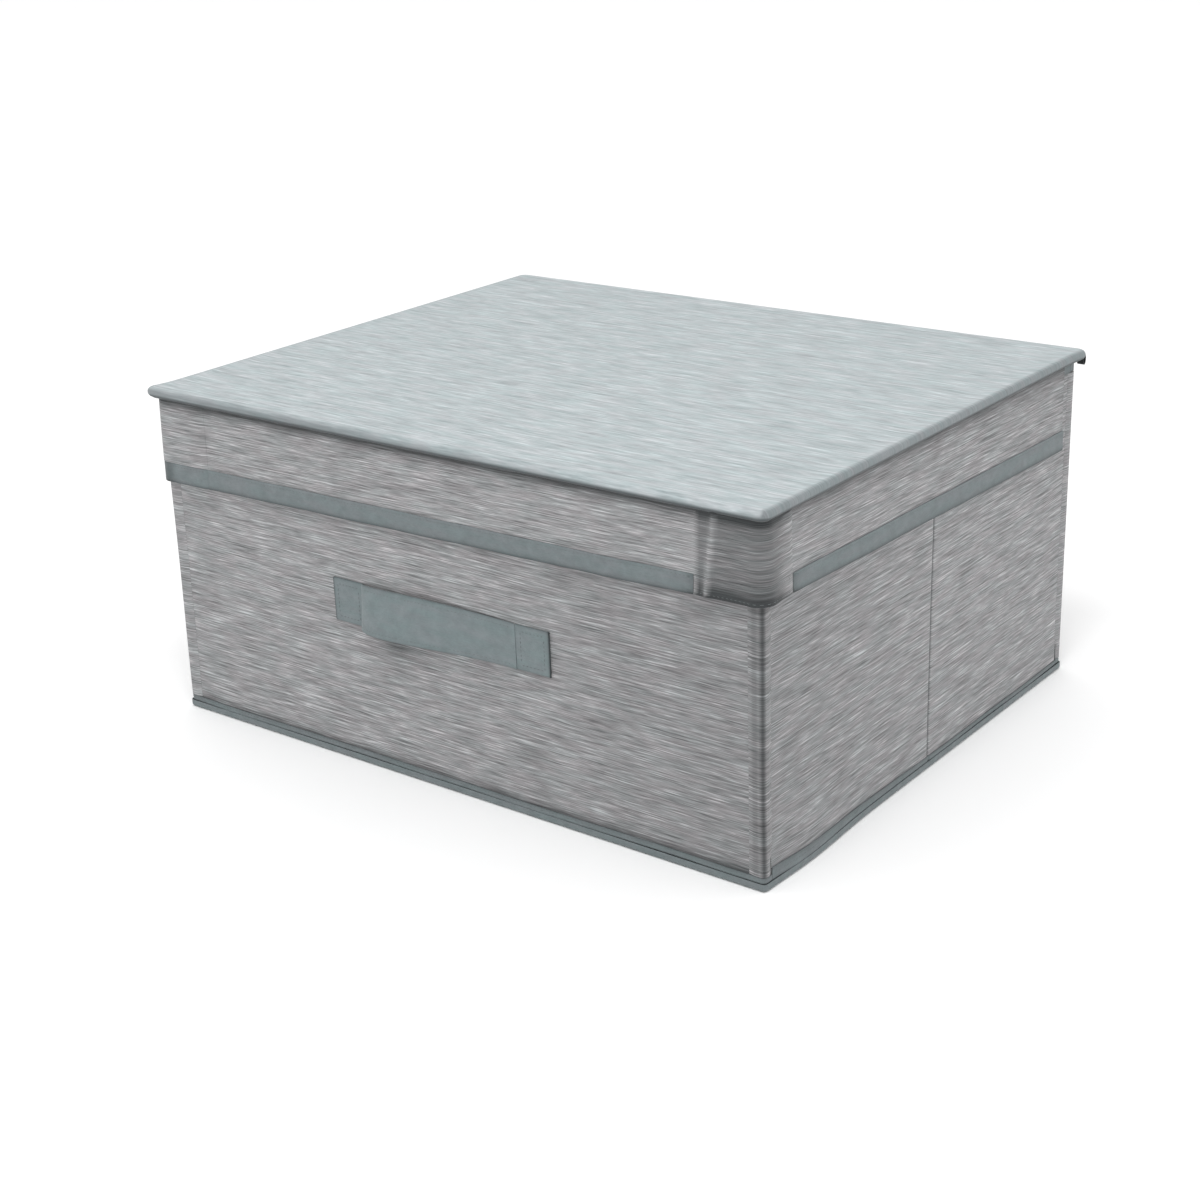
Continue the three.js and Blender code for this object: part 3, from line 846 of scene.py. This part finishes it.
STRAP_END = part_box("handle_tab_right")[1].x
for name in ("left", "right"):
    low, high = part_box(f"handle_tab_{name}")
    tab_columns = lines(low.x, high.x, 2 * MM, (low.x, high.x), 1 * MM, 0.5 * MM)
    tab = cut_cloth(f"strap_end_{name}", tab_columns, strap_rows, STRAP)
    # Painted shade along the tab's folded edges, and a painted shadow line at the strap's outer end.
    paint_shade_and_tone(tab, lambda u, v: 0.5 * np.exp(-np.minimum(v - low.z, high.z - v) / (0.7 * MM)) +
          0.8 * np.exp(-np.abs(np.abs(u) - STRAP_END) / (0.7 * MM)))
    inset = 4 * MM
    left, right_end, bottom, top = low.x + inset, high.x - inset, low.z + inset, high.z - inset
    corners = [(left, bottom), (right_end, bottom), (right_end, top), (left, top), (left, bottom)]
    frame_rows = [(a, b, *FINE_STITCH) for a, b in zip(corners, corners[1:])]
    lay(tab, lambda u, v, h: place_on["front"](u, v, soft_edged(u, v, h, low.z, high.z) - 0.1 * MM), GAP)
    finish_piece(tab, strap_cloth, ["front_wall"], [f"handle_tab_{name}"])
    seams = stitching(f"strap_end_stitches_{name}", frame_rows, place_on["front"], GAP + STRAP,
                      ["front_wall"])
print("strap", round((grip_high.z - grip_low.z) / MM), "mm wide, stands off", round(BOW / MM, 1), "mm")

# %% [markdown]
# ## Trays of cloth: floor, base board cover and lid
# Three cloths are rectangles with all four edges turned: the floor cloth turns up to meet the walls,
# the cover of the base board turns down, and the lid's cover rolls right round the edge of its board.
# One rule serves all three. Beyond a rectangle in the middle, a point keeps its direction from that
# rectangle, and its distance is carried round the bend, so that the corners come out gathered and
# round, as sewn ones are.


# %% Rule for turned edges
def turned_edge(half_x, half_y, level, bend, turned, corner, rising, relief=nothing):
    """Lays a cloth flat at that level, with its edges turned on a radius by `turned` radians.

    rising is 1 where the edge turns up and -1 where it turns down; half_x and half_y are outermost."""
    def place(u, v, h):
        core_u, core_v = half_x - corner, half_y - corner
        over_u, over_v = u - np.clip(u, -core_u, core_u), v - np.clip(v, -core_v, core_v)
        far = np.maximum(np.abs(over_u), np.abs(over_v))
        size = np.maximum(np.hypot(over_u, over_v), 1e-9)
        past_bend = far - (corner - bend)
        turn = np.clip(past_bend / bend, 0, turned)
        on = np.maximum(past_bend - bend * turned, 0)
        radius = bend - rising * h
        out = np.minimum(far, corner - bend) + radius * np.sin(turn) + on * np.cos(turn)
        rise = bend - radius * np.cos(turn) + on * np.sin(turn)
        return np.stack([u - over_u + over_u / size * out, v - over_v + over_v / size * out,
                         level + rising * rise + relief(u, v)], axis=1)
    return place


def tray_lines(half, corner, extra, step):
    """Grid lines for a turned edge: wide apart inside, close together over the bend."""
    edge = half - corner
    rim = np.arange(0.0, corner + extra + 0.3 * MM, 0.9 * MM)
    inner = np.linspace(-edge, edge, round(2 * edge / step) + 1)
    return np.unique(np.round(np.concatenate([-edge - rim, inner, edge + rim]), 6))


# %% Floor cloth and covered base board
low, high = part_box("floor_cloth")
RIM_BEND, RIM_CORNER, RIM_HEIGHT = 1.4 * MM, 3 * MM, 4.8 * MM
rim_x, rim_y = high.x + 0.7 * MM, high.y + 0.7 * MM
extra = RIM_HEIGHT - RIM_BEND + RIM_BEND * (math.pi / 2 - 1)
floor_cloth = cut_cloth("bottom_cloth", tray_lines(rim_x, RIM_CORNER, extra, 8 * MM),
                        tray_lines(rim_y, RIM_CORNER, extra, 8 * MM), TAPE)
lay(floor_cloth, turned_edge(rim_x, rim_y, low.z, RIM_BEND, math.pi / 2, RIM_CORNER, 1))
move_points(floor_cloth, slumped(points_of(floor_cloth).copy()))
finish_piece(floor_cloth, tape_cloth, ["base"], ["floor_cloth"])
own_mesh(floor_cloth)

low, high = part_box("base_board_cover")
cover_x, cover_y = high.x + 0.6 * MM, high.y + 0.6 * MM
base_cover = cut_cloth("base_board_cloth", tray_lines(cover_x, RIM_CORNER, 0.8 * MM, 8 * MM),
                       tray_lines(cover_y, RIM_CORNER, 0.8 * MM, 8 * MM), TAPE)
quilt = puckers(71, 0.25 * MM, 0.05, 0.12)


def quilted(u, v):
    """The soft cover's unevenness, which stops short of its edge."""
    return quilt(u, v) * (np.maximum(np.abs(u) / high.x, np.abs(v) / high.y) < 0.985)


lay(base_cover, turned_edge(cover_x, cover_y, high.z - TAPE, 1.0 * MM, math.pi / 2, RIM_CORNER, -1, quilted))
finish_piece(base_cover, lining_cloth, ["base"], ["base_board_cover"])

# %% [markdown]
# ## The lid
# The printed cover of the lid is drawn over its board and rolled under at the edge, round a soft cord
# of waste cloth, so the lid ends in a soft lip that overhangs the skirt. It replaces the flat panel and
# the four edge rolls of the frame. The seam that holds it is under the lip, where it doesn't show.

# %% Lid cover with its rolled lip
lip_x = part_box("lid_edge_right")[1].x
lip_front, lip_back = -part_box("lid_edge_front")[0].y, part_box("lid_edge_back")[1].y
LID_MIDDLE = (lip_back - lip_front) / 2
lip_y = (lip_back + lip_front) / 2
LIP = 2.7 * MM
LIP_TURN = math.pi * 1.15
LIP_CORNER = 7 * MM
LID_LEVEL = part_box("lid_cover")[0].z
LID_X, LID_Y = lip_x - CLOTH, lip_y - CLOTH
lip_end = LIP * (LIP_TURN - 1) + 0.5 * MM
lid_slack = puckers(90, 0.7 * MM, 0.09, 0.3)


def lid_relief(u, v):
    """The lip a little proud of the panel, with a soft slope between them."""
    inside = np.minimum(LID_X - np.abs(u), LID_Y - np.abs(v))
    loose = lid_slack(u, v) * np.clip((inside - 7 * MM) / (25 * MM), 0, 1)
    proud = 0.6 * MM / (1 + np.exp((inside - 9 * MM) / (1.8 * MM)))
    return loose + proud * (inside > -2 * LIP)


lid_cover = cut_cloth("lid_outer_cloth", tray_lines(LID_X, LIP_CORNER, lip_end, 5 * MM),
                      tray_lines(LID_Y, LIP_CORNER, lip_end, 5 * MM), CLOTH)


def lip_shade(u, v):
    """Painted shade: darker under the lip, across its side rolls, along its back, and on the left half of
    its front roll.
    """
    under = 0.95 * np.clip((np.maximum(np.abs(u) - lip_x, np.abs(v) - lip_y) - 0.2 * MM) / (2.2 * MM), 0, 1)
    sides = 0.5 * np.clip((np.abs(u) - lip_x + 4.5 * MM) / (3 * MM), 0, 1)
    front = 0.5 * np.clip((-v - lip_y + 4 * MM) / (4 * MM), 0, 1) * np.clip((0.16 - u) / 0.24, 0, 1)
    back = 0.35 * np.clip((v - lip_y + 3 * MM) / (3 * MM), 0, 1)
    return np.maximum.reduce([under, sides, front, back])


paint_shade_and_tone(lid_cover, lip_shade)
place_lid = turned_edge(LID_X, LID_Y, LID_LEVEL, LIP, LIP_TURN, LIP_CORNER, -1, lid_relief)


def place_lid_cover(u, v, h):
    """The lid's place, with its front left and back right corners drawn out to a point."""
    at = place_lid(u, v, h) + (0, LID_MIDDLE, 0)
    for sign, out in ((-1, 4 * MM), (1, 2 * MM)):
        far = np.hypot(at[:, 0] - sign * lip_x, at[:, 1] - LID_MIDDLE - sign * lip_y)
        at[:, 0] += sign * out * hill(far, 0, 14 * MM)
    return at


lay(lid_cover, place_lid_cover)
finish_piece(lid_cover, lid_print, ["lid"],
             ["lid_cover", "lid_edge_front", "lid_edge_back", "lid_edge_left", "lid_edge_right"])
print("lid cover cut", [round(x / MM) for x in lid_cover["flat"]], "mm")

# %% [markdown]
# At the two back corners the cloth roll inside the lip shows its open end, a short tube painted dark all
# over: painted shade for the hollow inside it.

# %% Open ends of the lip's roll
for name, sign in (("left", -1), ("right", 1)):
    bpy.ops.object.select_all(action="DESELECT")
    bpy.ops.mesh.primitive_cylinder_add(vertices=20, radius=2 * MM, depth=5 * MM, end_fill_type="NOTHING")
    tube = bpy.context.object
    tube.name = tube.data.name = f"lip_roll_end_{name}"
    wall_of_tube = tube.modifiers.new("thickness", "SOLIDIFY")
    wall_of_tube.thickness = 0.5 * MM
    apply_modifiers(tube)
    bpy.ops.object.shade_smooth_by_angle(angle=math.radians(40))
    # The whole tube is painted as full shade.
    paint_shade_and_tone(tube, lambda u, v: 1)
    tall, across, along = points_of(tube).T
    move_points(tube, np.stack([sign * (lip_x - 2.8 * MM) + along, lip_back - 2.6 * MM + across,
                                LID_LEVEL - 5.8 * MM + 2 * tall], axis=1))
    finish_piece(tube, tape_cloth, ["lid"])

# %% Lid lining
low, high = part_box("lid_lining")
middle_y = (low.y + high.y) / 2
lid_lining = cut_cloth("lid_inner_cloth", lines(low.x, high.x, 8 * MM),
                       lines(low.y - middle_y, high.y - middle_y, 8 * MM), TAPE)
lining_slack = puckers(91, 0.5 * MM, 0.08, 0.2)


def place_lid_lining(u, v, h):
    """The rule for the lining under the lid: flat, with a slack that stops short of its side edges."""
    sag = lining_slack(u, v) * (np.abs(u) < high.x - 9 * MM)
    return np.stack([u, v + middle_y, low.z + h - sag], axis=1)


lay(lid_lining, place_lid_lining)
finish_piece(lid_lining, lining_cloth, ["lid"], ["lid_lining"])

# %% [markdown]
# ## The skirt
# Three flaps hang from the lid and hide the rim of the box: front, left and right. They have no board,
# so they bulge and wave a little more towards their free lower edge, and a hem tape stiffens that
# edge. The front flap goes round both corners, and the side flaps start where it ends.

# %% Flaps and hem tapes
flap_low, flap_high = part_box("front_flap")
side_flap_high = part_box("right_flap")[1]
SKIRT_X, SKIRT_Y = side_flap_high.x, -flap_low.y
SKIRT_TOP, SKIRT_LOW = flap_high.z, flap_low.z
SKIRT_CORNER = 7 * MM
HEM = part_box("front_flap_hem")[1].z - SKIRT_LOW


def hanging_share(v):
    """How far down a flap a point is: 0 at its sewn top and 1 at its free edge."""
    return np.clip((SKIRT_TOP - v) / (SKIRT_TOP - SKIRT_LOW), 0, 1)


def hanging(seed, most):
    """Relief of a flap: nothing at its sewn top, and long waves at its free edge."""
    wave = puckers(seed, most, 0.06, 0.2)
    return lambda u, v: wave(u, 0.3 * v) * hanging_share(v) ** 0.8


skirt_relief = {
    "front": hanging(11, 1.8 * MM),
    "right": hanging(12, 1.5 * MM),
    "left": hanging(13, 1.5 * MM),
}
FREE_EDGE = {  # (place along the flap, how much higher its free edge is there)
    "front": ((-SKIRT_X, 0), (0.14, 5.6 * MM), (SKIRT_X, 8.5 * MM), (SKIRT_X + 0.38, -1.0 * MM)),
    "right": ((-SKIRT_Y, 8.5 * MM), (0.18, -1.0 * MM)),
    "left": ((-SKIRT_Y, 0), (SKIRT_Y, 0)),
}


def lifted(side, place):
    """The same place, with the free edge of the flap higher and its top as it is."""
    at, rise = zip(*FREE_EDGE[side])
    return lambda u, v, h: place(u, v + np.interp(u, at, rise) * hanging_share(v), h)


skirt_place = {}
for side, relief in skirt_relief.items():
    half, face = (SKIRT_X, SKIRT_Y) if side == "front" else (SKIRT_Y, SKIRT_X)
    skirt_place[side] = lifted(side, upright(side, half, face, SKIRT_CORNER, relief))
front_reach = SKIRT_X - SKIRT_CORNER + SKIRT_CORNER * math.pi / 2 + 4 * MM
side_start = SKIRT_Y - SKIRT_CORNER - 4.4 * MM
side_end = side_flap_high.y
flap_spans = {"front": (-front_reach, front_reach), "right": (-side_start, side_end),
              "left": (-side_end, side_start)}
hem_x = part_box("front_flap_hem")[1].x
hem_y = -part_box("right_flap_hem")[0].y
hem_spans = {"front": (-hem_x, hem_x), "right": (-hem_y, side_end), "left": (-side_end, hem_y)}
FRONT_CUT = 50  # the front flap and both corners come from one place of the bolt
FAR_OFF = 10  # the left hem has no end that shows


def shaded_top(v, solid, fade):
    """Painted shade at the flap's top, which is tucked up behind the lip."""
    return 0.9 * np.exp(-np.maximum(SKIRT_TOP - v - solid, 0) / fade)


def front_shade(u, v):
    """Painted shade of the front flap."""
    return shaded_top(v, 4 * MM, 2.8 * MM)


def side_shade(u, v):
    """Painted shade at the top of a side flap, and the flap darker towards its back end."""
    return shaded_top(v, 2 * MM, 5 * MM) + 0.12 * np.exp(-np.abs(np.abs(u) - side_end) / (2.5 * MM))


def hem_seams(name, start, end, place):
    """Two rows of stitches along a hem, near its two edges."""
    rows = [((start, v), (end, v), *FINE_STITCH) for v in (SKIRT_LOW + 2 * MM, SKIRT_LOW + HEM - 2 * MM)]
    return stitching(name, rows, place, GAP + TAPE, ["lid"])


hem_lines = lines(SKIRT_LOW, SKIRT_LOW + HEM, 2 * MM)
for side, span in flap_spans.items():
    bends, shade, number, near = {
        "front": ((-SKIRT_X, SKIRT_X), front_shade, FRONT_CUT, hem_x),
        "right": ((), side_shade, None, -hem_y),
        "left": ((), side_shade, None, FAR_OFF),
    }[side]
    flap = cut_cloth(f"{side}_skirt", lines(*span, 5 * MM, bends, 9 * MM, 1 * MM),
                     lines(SKIRT_LOW, SKIRT_TOP, 4 * MM), CLOTH, number)
    paint_shade_and_tone(flap, shade)
    lay(flap, skirt_place[side], -CLOTH)
    finish_piece(flap, wall_print, ["lid"], [f"{side}_flap"])
    hem = cut_cloth(f"{side}_hem_tape", lines(*hem_spans[side], 5 * MM), hem_lines, TAPE)
    # Painted shade along the hem's lower edge, and the hem darker towards its end at the near front corner.
    paint_shade_and_tone(hem, lambda u, v: 0.7 * np.exp(-(v - SKIRT_LOW) / (1.4 * MM)) +
          0.35 * np.exp(-np.abs(u - near) / (4 * MM)))
    lay(hem, lambda u, v, h: skirt_place[side](
        u, v, GAP + h * np.clip(np.abs(u - near) / (5 * MM), 0.15, 1)))
    finish_piece(hem, tape_cloth, ["lid"], [f"{side}_flap_hem"])
    seams = hem_seams(f"{side}_hem_stitches", *hem_spans[side], skirt_place[side])
print("skirt", round((SKIRT_TOP - SKIRT_LOW) / MM), "mm deep, hem", round(HEM / MM, 1), "mm")

# %% [markdown]
# ## Skirt corners
# At each front corner a piece of the print is folded round the two flaps, and its hem is a separate
# strip laid by the same rule: plain tape on the left, and the print itself on the right. On the right
# corner nothing holds it taut, so it bulges, most at the bottom, and the fold that takes up its slack
# stands as an upright ridge on the front. The left one is drawn flat. Both are cut from the same part
# of the bolt as the front flap, so their streaks run on.

# %% Corner patches and corner hems
patch_low, patch_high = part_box("right_corner_patch")
PATCH_FRONT, PATCH_SIDE = SKIRT_X - patch_low.x, SKIRT_Y + patch_high.y
PATCH_TOP = patch_high.z


def crease_from_corner(v):
    """How far before the corner the upright crease runs; it leans."""
    return 38 * MM - 0.1 * (v - SKIRT_LOW)


def corner_relief(bulge, ridge):
    """Relief of a loose corner: the flap's waves under it, a bulge round the bend, an upright ridge."""
    def relief(u, v):
        round_bend = hill(np.abs(u), SKIRT_X, 14 * MM) * hanging_share(v) ** 0.6
        fold = hill(np.abs(u), SKIRT_X - crease_from_corner(v), 2.4 * MM)
        flap_waves = skirt_relief["front"](np.clip(u, -SKIRT_X, SKIRT_X), v)
        return flap_waves + bulge * round_bend + ridge * fold
    return relief


def near_corner_shade_and_tone(u, v):
    """Darkness of the near corner, partly painted shade and partly darker cloth: its inner edge, a crease
    kept pale as a painted highlight, and a zone that ends past the bend.
    """
    before = SKIRT_X - np.abs(u)
    band = 0.1 * hill(before, 43 * MM, 2.5 * MM)
    zone = 0.5 / (1 + np.exp((before - 44 * MM) / MM)) / (1 + np.exp((-before - 15 * MM) / (4 * MM)))
    ends = 0.25 * (np.exp(-(v - SKIRT_LOW - HEM) / (7 * MM)) + np.exp(-(PATCH_TOP - v) / (10 * MM)))
    crease = 1 - 0.8 * hill(before, crease_from_corner(v), 2.2 * MM)
    return (band + zone) * (1 + ends) * crease


def taut_shade(u, v):
    """Darkness of the left corner's hem: a zone round the bend."""
    return 0.45 / (1 + np.exp((SKIRT_X - np.abs(u) - 12 * MM) / (1.5 * MM)))


def corner_place(ends, bulge, ridge):
    """The rule for a corner's cloth, which thins towards its two ends."""
    relief = corner_relief(bulge, ridge)
    place_cut = lifted("front", upright("front", SKIRT_X, SKIRT_Y, SKIRT_CORNER, relief))

    def place(u, v, h):
        from_end = np.minimum(np.abs(u - ends[0]), np.abs(u - ends[1]))
        return place_cut(u, v, h * np.clip(from_end / (4 * MM), 0.12, 1))
    return place


ROUND_BEND = SKIRT_X - SKIRT_CORNER + SKIRT_CORNER * math.pi / 2 + PATCH_SIDE - SKIRT_CORNER
CORNERS = (("left", -1, 0.6 * MM, 0, nothing, taut_shade, tape_cloth, "plain_tape"),
           ("right", 1, 2.2 * MM, 1.2 * MM, near_corner_shade_and_tone, near_corner_shade_and_tone, wall_print, "wall_print"))
for name, sign, bulge, ridge, patch_shade, hem_shade, hem_cloth, hem_slot in CORNERS:
    span = sorted([sign * (SKIRT_X - PATCH_FRONT), sign * ROUND_BEND])
    place_corner = corner_place(span, bulge, ridge)
    columns = lines(*span, 2.2 * MM, (sign * SKIRT_X,), 10 * MM, 1 * MM)
    patch = cut_cloth(f"{name}_skirt_corner", columns, lines(SKIRT_LOW + HEM + GAP, PATCH_TOP, 2 * MM),
                      CLOTH, FRONT_CUT)
    # Painted shade at the top under the lip, with the corner's own darkening.
    paint_shade_and_tone(patch, lambda u, v: front_shade(u, v) + patch_shade(u, v))
    lay(patch, place_corner, GAP)
    finish_piece(patch, wall_print, ["lid"], [f"{name}_corner_patch"])
    hem = cut_cloth(f"{name}_corner_hem_tape", columns, hem_lines, TAPE, FRONT_CUT)
    # Painted shade along the hem's lower edge, with the corner's own darkening.
    paint_shade_and_tone(hem, lambda u, v: 0.6 * np.exp(-(v - SKIRT_LOW) / (0.9 * MM)) + hem_shade(u, v))
    lay(hem, place_corner, GAP)
    finish_piece(hem, hem_cloth, ["lid"], [f"{name}_corner_hem"])
    seams = hem_seams(f"{name}_corner_hem_stitches", span[0] + 1 * MM, span[1] - 1 * MM, place_corner)

# %% [markdown]
# ## The cloth hinge
# A strip of the print joins the back wall to the rear edge of the lid. It is made as a leaf on the wall
# and a small bead of cloth on the hinge line, which the lid's lip turns on: a single bending sheet would
# be simpler, but the lid turns by more than half a turn, which a bend between two bodies can't follow.

# %% Hinge leaf and bead
hinge_low, hinge_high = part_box("hinge_cloth")
hinge_joint = next(j for j in frame["joints"] if j["name"] == "lid_hinge")
AXIS_Y, AXIS_Z = hinge_joint["pos_m"][1], hinge_joint["pos_m"][2]
BEAD = 0.9 * MM
leaf_path = np.array([(hinge_low.y, hinge_low.z), (hinge_low.y, AXIS_Z - 1.7 * MM),
                      (AXIS_Y - 1.5 * MM, AXIS_Z - 0.6 * MM)])
leaf_far = np.concatenate([[0], np.cumsum(np.hypot(*np.diff(leaf_path, axis=0).T))])


def along_leaf(s):
    """The place (y, z) that far up the leaf."""
    return np.interp(s, leaf_far, leaf_path[:, 0]), np.interp(s, leaf_far, leaf_path[:, 1])


def place_leaf(u, s, h):
    """The rule that lays the leaf up its path of (y, z) corners, with its thickness outwards."""
    y, z = along_leaf(s)
    y_above, z_above = along_leaf(s + 0.5 * MM)
    y_below, z_below = along_leaf(s - 0.5 * MM)
    out_y, out_z = z_above - z_below, y_below - y_above
    size = np.maximum(np.hypot(out_y, out_z), 1e-9)
    return np.stack([-u, y + h * out_y / size, z + h * out_z / size], axis=1)


wall_leaf = cut_cloth("hinge_leaf_wall", lines(hinge_low.x, hinge_high.x, 8 * MM),
                      lines(0, leaf_far[-1], 2 * MM), CLOTH)
lay(wall_leaf, place_leaf)
finish_piece(wall_leaf, wall_print, ["base"], ["hinge_cloth"])
leaf_rows = [((-hinge_high.x + 3 * MM, z), (hinge_high.x - 3 * MM, z))
             for z in (hinge_low.z + 4 * MM, hinge_high.z - 4 * MM)]
wall_seams = stitching("hinge_stitches", leaf_rows,
                       lambda u, v, h: np.stack([-u, hinge_high.y + h, v], axis=1), 0.0, ["base"])
bpy.ops.object.select_all(action="DESELECT")
bpy.ops.mesh.primitive_cylinder_add(vertices=12, radius=BEAD, depth=2 * hinge_high.x,
                                    location=(0, AXIS_Y, AXIS_Z), rotation=(0, math.pi / 2, 0))
bead = bpy.context.object
bead.name = bead.data.name = "hinge_bead"
bpy.ops.object.transform_apply(location=True, rotation=True, scale=True)
rounded = bead.modifiers.new("round_ends", "BEVEL")
rounded.width, rounded.segments = 0.5 * MM, 2
apply_modifiers(bead)
bpy.ops.object.shade_smooth_by_angle(angle=math.radians(40))
finish_piece(bead, tape_cloth, ["base"])

# %% [markdown]
# ## The boards
# Every board keeps its shape from the frame and only gets its material. They show at the cut edges
# when the walls are folded, and otherwise stay hidden.

# %% Boards
for name, node in frame["nodes"].items():
    if not node.hide_render:
        node.data.materials.clear()
        node.data.materials.append(greyboard)
        print("board", name)

# %% [markdown]
# ## Size over all
# The size of everything that shows is printed.

# %% Size over all
low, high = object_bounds()
print("shown", [round((b - a) / MM, 1) for a, b in zip(low, high)], "mm over all")
